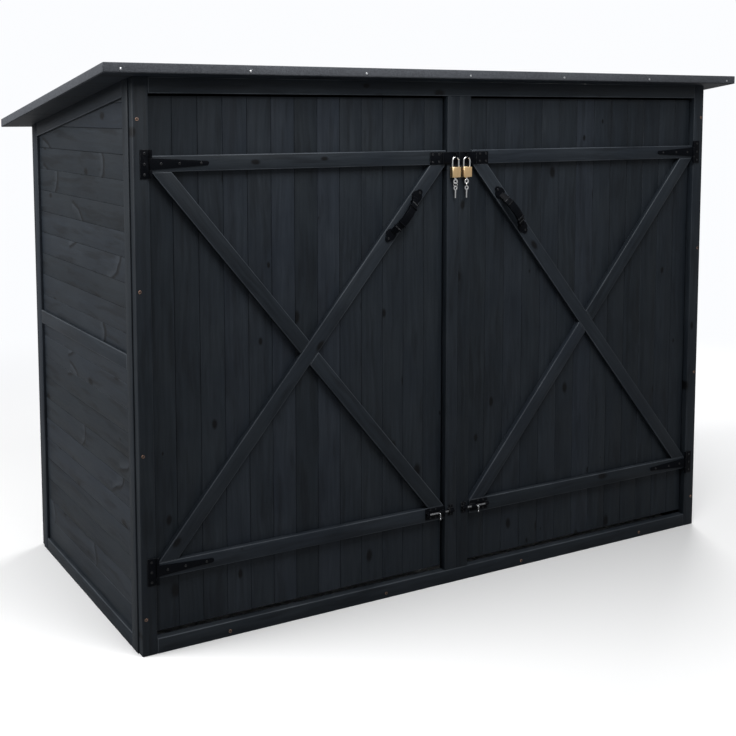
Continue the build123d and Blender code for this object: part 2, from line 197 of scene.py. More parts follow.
def speckle(tree, place, scale, detail=4.0, roughness=0.6):
    """Cloudy noise over the given coordinates, from 0 to 1."""
    inputs = {"Vector": place, "Scale": scale, "Detail": detail, "Roughness": roughness}
    return shader_node(tree, "ShaderNodeTexNoise", inputs)


def ramp(tree, factor, stops):
    """A colour that follows a factor through (position, grey) or (position, colour) stops."""
    made = shader_node(tree, "ShaderNodeValToRGB", {"Fac": factor})
    elements = made.color_ramp.elements
    while len(elements) < len(stops):
        elements.new(0.5)
    for element, (position, colour) in zip(elements, stops):
        element.position = position
        element.color = colour if isinstance(colour, tuple) else (colour, colour, colour, 1)
    return made, "Color"


def maths(tree, operation, *values):
    """A sum over numbers and (node, output) links."""
    return shader_node(tree, "ShaderNodeMath", dict(enumerate(values)), operation=operation), "Value"


def mixed(tree, factor, first, second, blend="MIX"):
    """Two colours mixed by a factor."""
    inputs = {"Fac": factor, "Color1": first, "Color2": second}
    return shader_node(tree, "ShaderNodeMixRGB", inputs, blend_type=blend), "Color"


def stretched(tree, place, scale):
    """Coordinates that draw a pattern out or close it up along each axis."""
    return shader_node(tree, "ShaderNodeMapping", {"Vector": place, "Scale": scale}), "Vector"


def pushed(tree, place, cloud, reach):
    """Coordinates pushed about by a cloud, so that a pattern wanders."""
    push = shader_node(tree, "ShaderNodeVectorMath", {0: (cloud, "Color"), 1: reach}, operation="MULTIPLY")
    both = {0: place, 1: (push, "Vector")}
    return shader_node(tree, "ShaderNodeVectorMath", both, operation="ADD"), "Vector"


def scattered(tree, place, spread):
    """Flat cells of about one unit, and each cell's own chance from 0 to 1."""
    inputs = {"Vector": place, "Scale": 1.0, "Randomness": spread}
    cells = shader_node(tree, "ShaderNodeTexVoronoi", inputs, voronoi_dimensions="2D")
    chance = shader_node(tree, "ShaderNodeSeparateColor", {"Color": (cells, "Color")})
    return cells, (chance, "Red")


def knot_marks(tree, place, knots_from):
    """Oval knots in some of the cells: a dark core, and a wider swelling round it."""
    cells, chance = scattered(tree, stretched(tree, place, (4.6, 8.5, 8.5)), 1.0)
    inputs = {"Value": chance, "From Min": knots_from, "To Min": 0.001, "To Max": 0.125}
    size = shader_node(tree, "ShaderNodeMapRange", inputs)
    ring = maths(tree, "DIVIDE", (cells, "Distance"), (size, "Result"))
    core = ramp(tree, maths(tree, "MULTIPLY", ring, 0.5), [(0.25, 0.95), (0.5, 0.0)])
    halo = ramp(tree, maths(tree, "MULTIPLY", ring, 0.25), [(0.2, 1.0), (0.8, 0.0)])
    return core, halo


def bow_marks(tree, place, bows_from):
    """Crescents across the grain in some of the cells: a thin dark line with a paler flank."""
    curled = pushed(tree, place, speckle(tree, place, 14.0, 2.0), (0.06, 0.0, 0.0))
    spread = stretched(tree, curled, (2.3, 3.4, 1.0))
    cells, chance = scattered(tree, spread, 0.7)
    both = {0: spread, 1: (cells, "Position")}
    from_centre = (shader_node(tree, "ShaderNodeVectorMath", both, operation="SUBTRACT"), "Vector")
    ahead = (shader_node(tree, "ShaderNodeSeparateXYZ", {"Vector": from_centre}), "X")
    one_side = maths(tree, "LESS_THAN", ahead, -0.05)
    wanted = maths(tree, "MULTIPLY", maths(tree, "GREATER_THAN", chance, bows_from), one_side)
    away = (cells, "Distance")
    line = ramp(tree, away, [(0.306, 0.0), (0.318, 0.9), (0.330, 0.7), (0.352, 0.0)])
    flank = ramp(tree, away, [(0.23, 0.0), (0.298, 1.0), (0.310, 0.0)])
    return maths(tree, "MULTIPLY", line, wanted), maths(tree, "MULTIPLY", flank, wanted)


def bumped(tree, shader, height, strength, depth):
    """Raises a shader's surface slightly by a height."""
    inputs = {"Height": height, "Strength": strength, "Distance": depth}
    feed(tree, (shader_node(tree, "ShaderNodeBump", inputs), "Normal"), shader, "Normal")


def stained_timber(name, bows_from, knots_from, figure_depth):
    """Dark stain over grain: streaks, knots, crescents, pooled seams, arrises lightened as worn stain and
    painted highlight, and painted light on upward faces.
    """
    made, tree, shader = new_material(name)
    grain, piece, edge = (
        shader_node(tree, "ShaderNodeAttribute", attribute_name=read) for read in ("grain", "piece", "edge")
    )
    place = (grain, "Vector")
    bent = pushed(tree, place, speckle(tree, place, 3.0, 2.0), (0.0, 0.035, 0.035))
    streaks = (speckle(tree, stretched(tree, bent, (1.5, 36, 36)), 3.0, 7.0, 0.62), "Fac")
    pores = (speckle(tree, stretched(tree, place, (9, 300, 300)), 2.0, 3.0, 0.5), "Fac")
    patches = (speckle(tree, place, 5.0, 3.0), "Fac")
    figure = (speckle(tree, stretched(tree, bent, (2.2, 17, 17)), 2.0, 3.0, 0.55), "Fac")
    dark_figure = ramp(tree, figure, [(0.36, 1.0), (0.46, 0.0)])
    knot_core, knot_halo = knot_marks(tree, bent, knots_from)
    bow_lines, bow_flanks = bow_marks(tree, place, bows_from)

    tone = ramp(tree, streaks, [(0.2, STAIN_DARK), (0.8, STAIN_LIGHT)])
    tone = mixed(tree, 1.0, tone, ramp(tree, patches, CLOUDS), "MULTIPLY")
    tone = mixed(tree, 1.0, tone, ramp(tree, (piece, "Fac"), PIECE_TONES), "MULTIPLY")
    tone = mixed(tree, maths(tree, "MULTIPLY", dark_figure, figure_depth), tone, KNOT_DARK)
    tone = mixed(tree, maths(tree, "MULTIPLY", bow_flanks, 0.20), tone, STAIN_WORN_AND_HIGHLIGHT)
    tone = mixed(tree, knot_core, tone, KNOT_DARK)
    tone = mixed(tree, bow_lines, tone, KNOT_DARK)
    rub = ramp(tree, patches, [(0.35, 0.25), (0.65, 0.8)])
    # Edge faces lightened: partly worn stain, partly painted highlight; upward faces get painted light.
    worn = maths(tree, "MULTIPLY", rub, maths(tree, "MAXIMUM", (edge, "Fac"), 0.0))
    tone = mixed(tree, worn, tone, STAIN_WORN_AND_HIGHLIGHT)
    pooled = maths(tree, "MAXIMUM", maths(tree, "MULTIPLY", (edge, "Fac"), -1.0), 0.0)
    tone = mixed(tree, pooled, tone, STAIN_POOLED)
    feed(tree, tone, shader, "Base Color")
    feed(tree, ramp(tree, streaks, [(0.2, 0.46), (0.8, 0.64)]), shader, "Roughness")
    shader.inputs["Specular IOR Level"].default_value = 0.16

    height = maths(tree, "ADD", streaks, pores)
    height = maths(tree, "MULTIPLY_ADD", knot_halo, 1.2, height)
    height = maths(tree, "MULTIPLY_ADD", bow_lines, -1.6, height)
    bumped(tree, shader, height, 0.5, 0.0006)
    return made


def lay_grain(obj, along, across, edge_wear_and_highlight=1.0):
    """Writes the grain's coordinates on a piece, its own tone, and how much its edges are lightened as wear
    and painted highlight, with painted light on upward faces.
    """
    along, across = Vector(along).normalized(), Vector(across).normalized()
    through = along.cross(across)
    shift = Vector([random.uniform(0, 40) for _ in range(3)])
    shade = random.random()
    mesh = obj.data
    for name, kind, where in (
        ("grain", "FLOAT_VECTOR", "POINT"), ("piece", "FLOAT", "POINT"), ("edge", "FLOAT", "FACE")
    ):
        mesh.attributes.new(name, kind, where)
    grain, piece, edge = (mesh.attributes[name].data for name in ("grain", "piece", "edge"))
    for vertex in mesh.vertices:
        place = Vector((vertex.co.dot(along), vertex.co.dot(across), vertex.co.dot(through)))
        grain[vertex.index].vector = place + shift
        piece[vertex.index].value = shade
    for face in mesh.polygons:
        square = max(abs(face.normal.dot(way)) for way in (along, across, through))
        # Edges get the wear and painted highlight; faces pointing up get painted light.
        edge[face.index].value = edge_wear_and_highlight if square < 0.985 else TOP_FACE_PAINTED_LIGHT * (face.normal.z > 0.9)


def bevelled(obj, width, segments=2, angle=25):
    """Rounds a piece's sharp edges, and marks the new faces as its second material."""
    pick(obj)
    obj.data.materials.clear()
    for _ in range(2):
        obj.data.materials.append(None)
    modifier = obj.modifiers.new("arris", "BEVEL")
    modifier.width = width
    modifier.segments = segments
    modifier.limit_method = "ANGLE"
    modifier.angle_limit = math.radians(angle)
    modifier.material = 1
    bpy.ops.object.modifier_apply(modifier=modifier.name)


def loose_copies(node):
    """Copies of a node's solids, one object each, with their triangles merged into faces."""
    clear_selection()
    copy = frame["nodes"][node].copy()
    copy.data = copy.data.copy()
    copy.parent = None
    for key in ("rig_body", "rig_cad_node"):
        del copy[key]
    bpy.context.scene.collection.objects.link(copy)
    pick(copy)
    bpy.ops.object.mode_set(mode="EDIT")
    bpy.ops.mesh.select_all(action="SELECT")
    bpy.ops.mesh.remove_doubles(threshold=1e-5)
    bpy.ops.mesh.dissolve_limited(angle_limit=math.radians(0.5))
    bpy.ops.mesh.separate(type="LOOSE")
    bpy.ops.object.mode_set(mode="OBJECT")
    return list(bpy.context.selected_objects)


def joined(pieces, name):
    """Joins loose objects into one piece of that name."""
    pick(pieces[0])
    for obj in pieces:
        obj.select_set(True)
    if len(pieces) > 1:
        bpy.ops.object.join()
    made = bpy.context.view_layer.objects.active
    made.name = name
    made.data.name = name
    return made


def finished(obj, material, slot, body, *nodes, angle=30):
    """Gives a piece its finish, and lets it stand for its nodes on their body. The slot is not used."""
    obj.data.materials.clear()
    obj.data.materials.append(material)
    pick(obj)
    bpy.ops.object.shade_smooth_by_angle(angle=math.radians(angle))
    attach(obj, body)
    if nodes:
        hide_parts(*nodes)


STAINED = stained_timber("anthracite_stain", bows_from=0.997, knots_from=0.62, figure_depth=0.28)


def timber_piece(node, body, along, name=None, material=STAINED, slot="stained_timber"):
    """Framing timber with eased arrises, from the node's own outline."""
    lengths = loose_copies(node)
    for obj in lengths:
        bevelled(obj, ARRIS)
        low, high = Vector(obj.bound_box[0]), Vector(obj.bound_box[6])
        way = along(high - low) if callable(along) else along
        across = Z_WAY if abs(way.dot(Z_WAY)) < 0.7 else X_WAY
        across = (across - way * across.dot(way)).normalized()
        lay_grain(obj, way, across, 1.0 if abs(way.z) < 0.9 else UPRIGHT_WEAR_AND_HIGHLIGHT)
    finished(joined(lengths, name or f"{node}_timber"), material, slot, body, node)


def longest_way(size):
    """The axis along which a piece is longest."""
    return max((X_WAY, Y_WAY, Z_WAY), key=lambda way: abs(size.dot(way)))


for node in (
    "front_bottom_rail", "front_left_post", "front_right_post",
    "centre_stile_left", "centre_stile_right", "front_top_rail",
    "left_side_stiles", "left_side_rails", "right_side_stiles", "right_side_rails",
    "back_stiles", "back_rails",
):
    timber_piece(node, "shed", longest_way)

# Wall and door boards: tongued and grooved, planed softwood about 67 to 71 mm in cover,
# 10 mm thick, with a small V at each joint. Each board is its own length of timber, and
# ledges and braces of planed softwood hold the doors' boards together.
WALL_COVER = 0.0671
DOOR_COVER = 0.0707
FIRST_COVER = 0.0635
LAST_SLIVER = 0.002
GROOVE = 0.0014
JOINT_GAP = 0.0003
TONGUE_SHOULDER = 0.0025
BOARD_ARRIS = 0.0005
BACK_STILE_HALF = 0.021
BRACE_RUN = 0.8515
BRACE_DROP = 1.027
# Seam faces: negative values pool the stain dark in the V, positive ones lighten it as wear and painted
# highlight.
SEAM_POOLING_WEAR_AND_HIGHLIGHT = (-0.3, -0.2, 0.0, 0.3)


def board(low, high, along, face_way):
    """One board between two corners, with a V on both faces along each edge."""
    low, high = Vector(low), Vector(high)
    across = Vector([abs(value) for value in along.cross(face_way)])
    high = high - across * JOINT_GAP
    clear_selection()
    bpy.ops.mesh.primitive_cube_add(size=1, location=(low + high) / 2, scale=high - low)
    obj = bpy.context.object
    bpy.ops.object.transform_apply(location=True, rotation=True, scale=True)
    for vertex in obj.data.vertices:
        vertex.select = False
    for face in obj.data.polygons:
        face.select = False
    for edge in obj.data.edges:
        ends = [obj.data.vertices[i].co for i in edge.vertices]
        edge.select = abs((ends[1] - ends[0]).normalized().dot(along)) > 0.99
    bpy.ops.object.mode_set(mode="EDIT")
    bpy.ops.mesh.select_mode(type="EDGE")
    bpy.ops.mesh.bevel(offset=GROOVE, offset_type="WIDTH", segments=1)
    bpy.ops.mesh.select_mode(type="FACE")
    bpy.ops.object.mode_set(mode="OBJECT")
    for face in obj.data.polygons:
        face.select = face.normal.dot(across) > 0.99
    bpy.ops.object.mode_set(mode="EDIT")
    bpy.ops.mesh.inset(thickness=TONGUE_SHOULDER)
    bpy.ops.mesh.extrude_region_move(TRANSFORM_OT_translate={"value": across * JOINT_GAP})
    bpy.ops.object.mode_set(mode="OBJECT")
    bevelled(obj, BOARD_ARRIS, 1)
    lay_grain(obj, along, across, random.choice(SEAM_POOLING_WEAR_AND_HIGHLIGHT))
    return obj


def board_marks(start, end, cover, first=None):
    """Places of the boards' joints from a start to an end, lowest first."""
    way = 1 if end > start else -1
    marks = [start]
    step = first or cover
    while abs(end - marks[-1]) > LAST_SLIVER:
        marks.append(marks[-1] + way * min(step, abs(end - marks[-1])))
        step = cover
    return sorted(marks)


def run_of_boards(name, node, along, across, face_way, marks):
    """Boards side by side over a node's box, parted at the given marks along across."""
    low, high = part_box(node)
    axis = 0 if across is X_WAY else 2
    made = []
    for start, end in zip(marks, marks[1:]):
        first, last = low.copy(), high.copy()
        first[axis], last[axis] = start, end
        made.append(board(first, last, along, face_way))
    return joined(made, name)


def cut_to_slope(obj, node):
    """Cuts boards off along the sloping top edge of their node."""
    corners = [vertex.co.copy() for vertex in frame["nodes"][node].data.vertices]
    low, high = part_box(node)
    front_top, back_top = (
        Vector((low.x, y, max(corner.z for corner in corners if abs(corner.y - y) < 1e-4)))
        for y in (low.y, high.y)
    )
    normal = X_WAY.cross(back_top - front_top)
    if normal.z < 0:
        normal.negate()
    pick(obj)
    bpy.ops.object.mode_set(mode="EDIT")
    bpy.ops.mesh.select_all(action="SELECT")
    bpy.ops.mesh.bisect(plane_co=front_top, plane_no=normal, use_fill=True, clear_outer=True)
    bpy.ops.object.mode_set(mode="OBJECT")


WALL_STAINED = stained_timber("anthracite_wall_stain", bows_from=0.66, knots_from=0.45, figure_depth=0.42)
for side, out_way in (("left", -X_WAY), ("right", X_WAY)):
    node = f"{side}_side_boards"
    low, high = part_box(node)
    marks = board_marks(low.z, high.z, WALL_COVER)
    boards = run_of_boards(f"{side}_side_lining", node, Y_WAY, Z_WAY, out_way, marks)
    cut_to_slope(boards, node)
    finished(boards, WALL_STAINED, "stained_timber", "shed", node)

low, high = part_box("back_boards")
marks = board_marks(low.z, high.z, WALL_COVER)
back_boards = []
for left, right in ((low.x, -BACK_STILE_HALF), (BACK_STILE_HALF, high.x)):
    for start, end in zip(marks, marks[1:]):
        back_boards.append(board((left, low.y, start), (right, high.y, end), X_WAY, Y_WAY))
finished(joined(back_boards, "back_lining"), WALL_STAINED, "stained_timber", "shed", "back_boards")

for side, sign in (("left", -1), ("right", 1)):
    door = f"{side}_door"
    low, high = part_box(f"{door}_boards")
    outer, inner = (low.x, high.x) if side == "left" else (high.x, low.x)
    marks = board_marks(outer, inner, DOOR_COVER, FIRST_COVER)
    boards = run_of_boards(f"{door}_lining", f"{door}_boards", Z_WAY, X_WAY, -Y_WAY, marks)
    finished(boards, STAINED, "stained_timber", door, f"{door}_boards")
    slant = Vector((sign * BRACE_RUN, 0, -BRACE_DROP)).normalized()
    timber_piece(f"{door}_ledges", door, X_WAY)
    timber_piece(f"{door}_long_brace", door, slant)
    timber_piece(f"{door}_short_braces", door, Vector((-slant.x, 0, slant.z)))

# Roof: a boarded deck wrapped in mineral-faced felt, folded over all four edges. Clout
# nails hold the felt to the front and back edges, and one bearer carries the deck.
FELT_DARK = (0.030, 0.033, 0.038, 1)
FELT_LIGHT = (0.078, 0.084, 0.096, 1)
FELT_FOLD = 0.003
NAIL_COUNT = 7
NAIL_FIRST = -1.046
NAIL_PITCH = 0.3495
NAIL_RADIUS = 0.0032
NAIL_HEAD = 0.0012
NAIL_STAND = 0.0019
FRONT_NAILS_DOWN = 0.0165
BACK_NAILS_UP = 0.0135
ZINC_DARK = (0.50, 0.51, 0.53, 1)
ZINC_LIGHT = (0.74, 0.75, 0.77, 1)


def mineral_felt(name):
    """Slate granules pressed into bitumen, with cloudy patches where they have worn."""
    made, tree, shader = new_material(name)
    place = (shader_node(tree, "ShaderNodeTexCoord"), "Object")
    grit = shader_node(tree, "ShaderNodeTexVoronoi", {"Vector": place, "Scale": 620.0})
    fleck = shader_node(tree, "ShaderNodeSeparateColor", {"Color": (grit, "Color")})
    worn = maths(tree, "MULTIPLY", (speckle(tree, place, 5.0, 5.0), "Fac"), 0.4)
    tone = maths(tree, "MULTIPLY_ADD", (fleck, "Red"), 0.6, worn)
    feed(tree, ramp(tree, tone, [(0.18, FELT_DARK), (0.82, FELT_LIGHT)]), shader, "Base Color")
    feed(tree, ramp(tree, (fleck, "Green"), [(0.0, 0.72), (1.0, 0.95)]), shader, "Roughness")
    shader.inputs["Specular IOR Level"].default_value = 0.3
    bumped(tree, shader, (grit, "Distance"), 0.5, 0.0006)
    return made


def metal_coat(name, dark, light, metallic, gloss, scale, worn=None, drawn=(1, 1, 1), specular=0.5):
    """Coated or bare metal with a faint mottle, drawn out if brushed, and lighter edges: rubbed, and on the
    brass and the handles' collars a painted highlight.
    """
    made, tree, shader = new_material(name)
    place = (shader_node(tree, "ShaderNodeTexCoord"), "Object")
    mottle = (speckle(tree, stretched(tree, place, drawn), scale, 4.0), "Fac")
    colour = ramp(tree, mottle, [(0.3, dark), (0.7, light)])
    # Edge colour: rubbed metal, and a painted highlight on the brass and the handles' collars.
    if worn:
        edge = shader_node(tree, "ShaderNodeAttribute", attribute_name="edge")
        rub = ramp(tree, (speckle(tree, place, 90.0), "Fac"), [(0.4, 0.15), (0.6, 1.0)])
        colour = mixed(tree, maths(tree, "MULTIPLY", rub, (edge, "Fac")), colour, worn)
    feed(tree, colour, shader, "Base Color")
    feed(tree, ramp(tree, mottle, [(0.3, gloss[0]), (0.7, gloss[1])]), shader, "Roughness")
    shader.inputs["Metallic"].default_value = metallic
    shader.inputs["Specular IOR Level"].default_value = specular
    bumped(tree, shader, mottle, 0.4, 0.0001)
    return made


def marked_faces(obj, wanted):
    """Selects only the faces that pass a test, ready for edit mode."""
    mesh = obj.data
    for items in (mesh.vertices, mesh.edges):
        items.foreach_set("select", [False] * len(items))
    for face in mesh.polygons:
        face.select = wanted(face)


def turned_disc(sides, radius, depth, low=0.0):
    """A short cylinder round the Z axis, in edit mode with its upper face selected."""
    clear_selection()
    middle = (0, 0, low + depth / 2)
    bpy.ops.mesh.primitive_cylinder_add(vertices=sides, radius=radius, depth=depth, location=middle)
    disc = bpy.context.object
    bpy.ops.object.transform_apply(location=True, rotation=True, scale=True)
    marked_faces(disc, lambda face: face.normal.z > 0.9)
    bpy.ops.object.mode_set(mode="EDIT")
    bpy.ops.mesh.select_mode(type="FACE")
    return disc


def stepped_in(inset, rise):
    """Draws the selected face in by an inset and lifts it."""
    bpy.ops.mesh.inset(thickness=inset)
    bpy.ops.transform.translate(value=(0, 0, rise))


def moved(obj, place, out_way, turn=0.0):
    """A copy of a small part, with its own mesh, stood at a place and facing out_way."""
    copy = obj.copy()
    copy.data = obj.data.copy()
    bpy.context.scene.collection.objects.link(copy)
    facing = Vector(out_way).to_track_quat("Z", "Y").to_matrix().to_4x4()
    copy.data.transform(Matrix.Translation(place) @ facing @ Matrix.Rotation(turn, 4, "Z"))
    return copy


roof_low, roof_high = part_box("roof_felt")
felt_tuck = 1 - NAIL_STAND / roof_high.y
felt = loose_copies("roof_felt")
for obj in felt:
    bevelled(obj, FELT_FOLD, 3)
    pick(obj)
    bpy.ops.object.mode_set(mode="EDIT")
    bpy.ops.mesh.select_all(action="SELECT")
    bpy.ops.transform.resize(value=(1, felt_tuck, 1), center_override=(0, 0, 0))
    bpy.ops.object.mode_set(mode="OBJECT")
finished(joined(felt, "roof_covering"), mineral_felt("mineral_felt"), "felt", "shed", "roof_felt")
# The deck and bearer, bare timber, are coloured dark like the stained timber, to match the roof's dark
# underside.
DECK_DARK_COLOUR = stained_timber("deck_dark_colour", bows_from=0.9, knots_from=0.5, figure_depth=0.6)
timber_piece("roof_deck", "shed", X_WAY, "deck_boards", DECK_DARK_COLOUR, "bare_timber")
timber_piece("roof_bearer", "shed", X_WAY, "bearer_timber", DECK_DARK_COLOUR, "bare_timber")

nail = turned_disc(14, NAIL_RADIUS, NAIL_HEAD)
stepped_in(NAIL_RADIUS * 0.3, 0.0005)
stepped_in(NAIL_RADIUS * 0.35, 0.0002)
bpy.ops.object.mode_set(mode="OBJECT")
nail_rows = (
    (roof_low.y, roof_high.z - FRONT_NAILS_DOWN, -Y_WAY),
    (roof_high.y, roof_low.z + BACK_NAILS_UP, Y_WAY),
)
nails = []
for number in range(NAIL_COUNT):
    for y, z, way in nail_rows:
        place = (NAIL_FIRST + NAIL_PITCH * number, y - way.y * NAIL_STAND, z)
        nails.append(moved(nail, place, way, random.random()))
bpy.data.objects.remove(nail)
ZINC = metal_coat("zinc_plate", ZINC_DARK, ZINC_LIGHT, 1.0, (0.26, 0.42), 260)
finished(joined(nails, "felt_nails"), ZINC, "plated_steel", "shed")

# Black ironmongery: pressed and cast steel with a satin black coat, rubbed on its edges.
# Strap hinges hang the doors, a hasp closes each, and a bow handle lies on each brace.
BLACK = (0.0012, 0.0016, 0.0026, 1)
BLACK_DUSTY = (0.0028, 0.0035, 0.0052, 1)
# Rubbed edges of the black coat, also used as a painted highlight on the handles' collars.
BLACK_RUBBED_AND_HIGHLIGHT = (0.060, 0.062, 0.066, 1)
SCREW_DARK = (0.004, 0.0045, 0.006, 1)
SCREW_LIGHT = (0.010, 0.011, 0.013, 1)
SCREW_RIM = (0.030, 0.031, 0.035, 1)
CREASE = 40
PRESSED_EDGE = 0.0005
CAST_EDGE = 0.0008
FRONT_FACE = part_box("front_bottom_rail")[0].y
PLATE_FACE = FRONT_FACE - 0.0025
LOBE_FACE = FRONT_FACE - 0.0035
FOOT_FACE = FRONT_FACE - 0.002
LEDGE_HEIGHTS = (0.226, 1.295)
HINGE_X = 0.9555
PLATE_SCREWS_OUT = 0.0165
PLATE_SCREWS_UP = (-0.027, 0, 0.027)
STRAP_SCREWS_IN = (0.028, 0.078, 0.138)
HASP_HEIGHT = 1.293
HASP_SCREWS_X = (0.073, 0.095)
HASP_SCREWS_UP = (-0.011, 0.011)
BRACE_LEAN = math.radians(39.61)
LOBE_SCREWS_ALONG = (-0.083, 0.083)
HANDLE_COLLARS = (-0.0449, -0.0286, 0.0286, 0.0449)
COLLAR_HALF = 0.003
COLLAR_OUT = 0.008
BOLT_HEIGHT = 0.229
HOUSING_SCREWS_X = (0.078, 0.097)
HOUSING_SCREWS_UP = (-0.0125, 0.0125)
KEEPER_SCREWS_X = (-0.024, 0.024)
KEEPER_SCREWS_UP = (-0.0118, 0.0118)


def metal_piece(node, body, material, slot, round_edge, angle=CREASE, shaped=None):
    """A metal part with softened edges, from the node's own outline."""
    parts = loose_copies(node)
    for obj in parts:
        if shaped:
            shaped(obj)
        bevelled(obj, round_edge, angle=CREASE)
        edge = obj.data.attributes.new("edge", "FLOAT", "FACE")
        for face in obj.data.polygons:
            edge.data[face.index].value = 1.0 if face.material_index == 1 else 0.0
    made = joined(parts, f"{node}_metal")
    finished(made, material, slot, body, node, angle=angle)
    return made


def cross_head(radius, height):
    """A small screw head with a raised rim and a cross recess, facing up at the origin."""
    head = turned_disc(16, radius, height)
    stepped_in(radius * 0.18, height * 0.35)
    bpy.ops.mesh.inset(thickness=radius * 0.22)
    bpy.ops.mesh.select_mode(type="VERT")
    bpy.ops.object.mode_set(mode="OBJECT")
    recess = next(face.index for face in head.data.polygons if face.select)
    ring = list(head.data.polygons[recess].vertices)
    marked_faces(head, lambda face: False)
    for index in ring:
        vertex = head.data.vertices[index]
        vertex.select = abs(abs(vertex.co.x) - abs(vertex.co.y)) < radius * 0.1
    bpy.ops.object.mode_set(mode="EDIT")
    bpy.ops.transform.resize(value=(0.32, 0.32, 1))
    bpy.ops.mesh.select_mode(type="FACE")
    bpy.ops.object.mode_set(mode="OBJECT")
    marked_faces(head, lambda face: face.index == recess)
    bpy.ops.object.mode_set(mode="EDIT")
    bpy.ops.mesh.extrude_region_move(TRANSFORM_OT_translate={"value": (0, 0, -height * 0.9)})
    bpy.ops.transform.resize(value=(0.6, 0.6, 1))
    bpy.ops.object.mode_set(mode="OBJECT")
    edge = head.data.attributes.new("edge", "FLOAT", "FACE")
    for face in head.data.polygons:
        edge.data[face.index].value = 1.0 if face.center.xy.length > radius * 0.7 else 0.0
    return head


def screws(name, body, material, slot, head, places, out_way=-Y_WAY):
    """One head copied to each place, each turned a little differently."""
    made = [moved(head, place, out_way, random.uniform(0, 1.5)) for place in places]
    finished(joined(made, name), material, slot, body)


def rub_and_highlight_collars(handle, centre, brace_way):
    """Marks the faces of a handle's raised collars for the lighter edge colour: a painted highlight, drawn
    as rubbed coat.
    """
    edge = handle.data.attributes["edge"].data
    for face in handle.data.polygons:
        along = [(handle.data.vertices[index].co - centre).dot(brace_way) for index in face.vertices]
        ends = (min(along), max(along))
        on_collar = any(all(abs(end - collar) < COLLAR_HALF for end in ends) for collar in HANDLE_COLLARS)
        if on_collar and face.center.y < FRONT_FACE - COLLAR_OUT:
            edge[face.index].value = 1.0


BLACK_COAT = metal_coat(
    "black_coat", BLACK, BLACK_DUSTY, 0.0, (0.42, 0.56), 320, BLACK_RUBBED_AND_HIGHLIGHT, specular=0.05
)
SCREW_COAT = metal_coat("screw_black", SCREW_DARK, SCREW_LIGHT, 0.4, (0.35, 0.5), 300, SCREW_RIM)
plate_screw = cross_head(0.0034, 0.0010)
small_screw = cross_head(0.0026, 0.0008)
for side, sign in (("left", -1), ("right", 1)):
    door = f"{side}_door"
    metal_piece(f"{side}_hinge_plates", "shed", BLACK_COAT, "black_ironmongery", PRESSED_EDGE)
    for part in ("hinge_straps", "hasp", "bolt_housing"):
        metal_piece(f"{door}_{part}", door, BLACK_COAT, "black_ironmongery", PRESSED_EDGE)
    handle = metal_piece(f"{door}_handle", door, BLACK_COAT, "black_ironmongery", CAST_EDGE)
    low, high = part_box(f"{door}_handle")
    centre = (low + high) / 2
    brace_way = Vector((-sign * math.sin(BRACE_LEAN), 0, math.cos(BRACE_LEAN)))
    # Painted highlight on the handle's raised collars.
    rub_and_highlight_collars(handle, centre, brace_way)
    plate_x = sign * (HINGE_X + PLATE_SCREWS_OUT)
    plates = [(plate_x, PLATE_FACE, z + up) for z in LEDGE_HEIGHTS for up in PLATE_SCREWS_UP]
    straps = [(sign * (HINGE_X - to), PLATE_FACE, z) for z in LEDGE_HEIGHTS for to in STRAP_SCREWS_IN]
    leaf = [(sign * x, PLATE_FACE, HASP_HEIGHT + up) for x in HASP_SCREWS_X for up in HASP_SCREWS_UP]
    lobes = [Vector((centre.x, LOBE_FACE, centre.z)) + brace_way * along for along in LOBE_SCREWS_ALONG]
    feet = [(sign * x, FOOT_FACE, BOLT_HEIGHT + up) for x in HOUSING_SCREWS_X for up in HOUSING_SCREWS_UP]
    screws(f"{side}_plate_screws", "shed", SCREW_COAT, "black_ironmongery", plate_screw, plates)
    screws(f"{side}_strap_screws", door, SCREW_COAT, "black_ironmongery", plate_screw, straps + leaf + lobes)
    screws(f"{side}_housing_screws", door, SCREW_COAT, "black_ironmongery", small_screw, feet)
metal_piece("bolt_keepers", "shed", BLACK_COAT, "black_ironmongery", PRESSED_EDGE)
keeper_feet = [(x, FOOT_FACE, BOLT_HEIGHT + up) for x in KEEPER_SCREWS_X for up in KEEPER_SCREWS_UP]
screws("keeper_screws", "shed", SCREW_COAT, "black_ironmongery", small_screw, keeper_feet)
bpy.data.objects.remove(small_screw)
bpy.data.objects.remove(plate_screw)

# Barrel bolts: bright zinc rods that slide sideways through their housings on the lower
# ledges, with a bent lever to push them. Thrown, they reach the keepers on the stiles.
# The zinc is coloured darker than bright zinc: a painted reflection of dark surroundings, with the lamps'
# reflections as its highlights.
BOLT_DARK = (0.20, 0.20, 0.21, 1)
BOLT_LIGHT = (0.40, 0.41, 0.42, 1)
ROD_EDGE = 0.0004
ROD_CREASE = 50
BOLT_ZINC = metal_coat("bolt_zinc", BOLT_DARK, BOLT_LIGHT, 1.0, (0.14, 0.24), 120)
for side in ("left", "right"):
    metal_piece(f"{side}_bolt", f"{side}_bolt", BOLT_ZINC, "bolt_steel", ROD_EDGE, ROD_CREASE)

# Padlocks: solid brass bodies with a turning plug, and bent steel shackles through the
# staples. A nickel-plated key is left in each, with its spare hanging on a small ring.
BRASS_DARK = (0.84, 0.57, 0.29, 1)
BRASS_LIGHT = (0.98, 0.70, 0.39, 1)
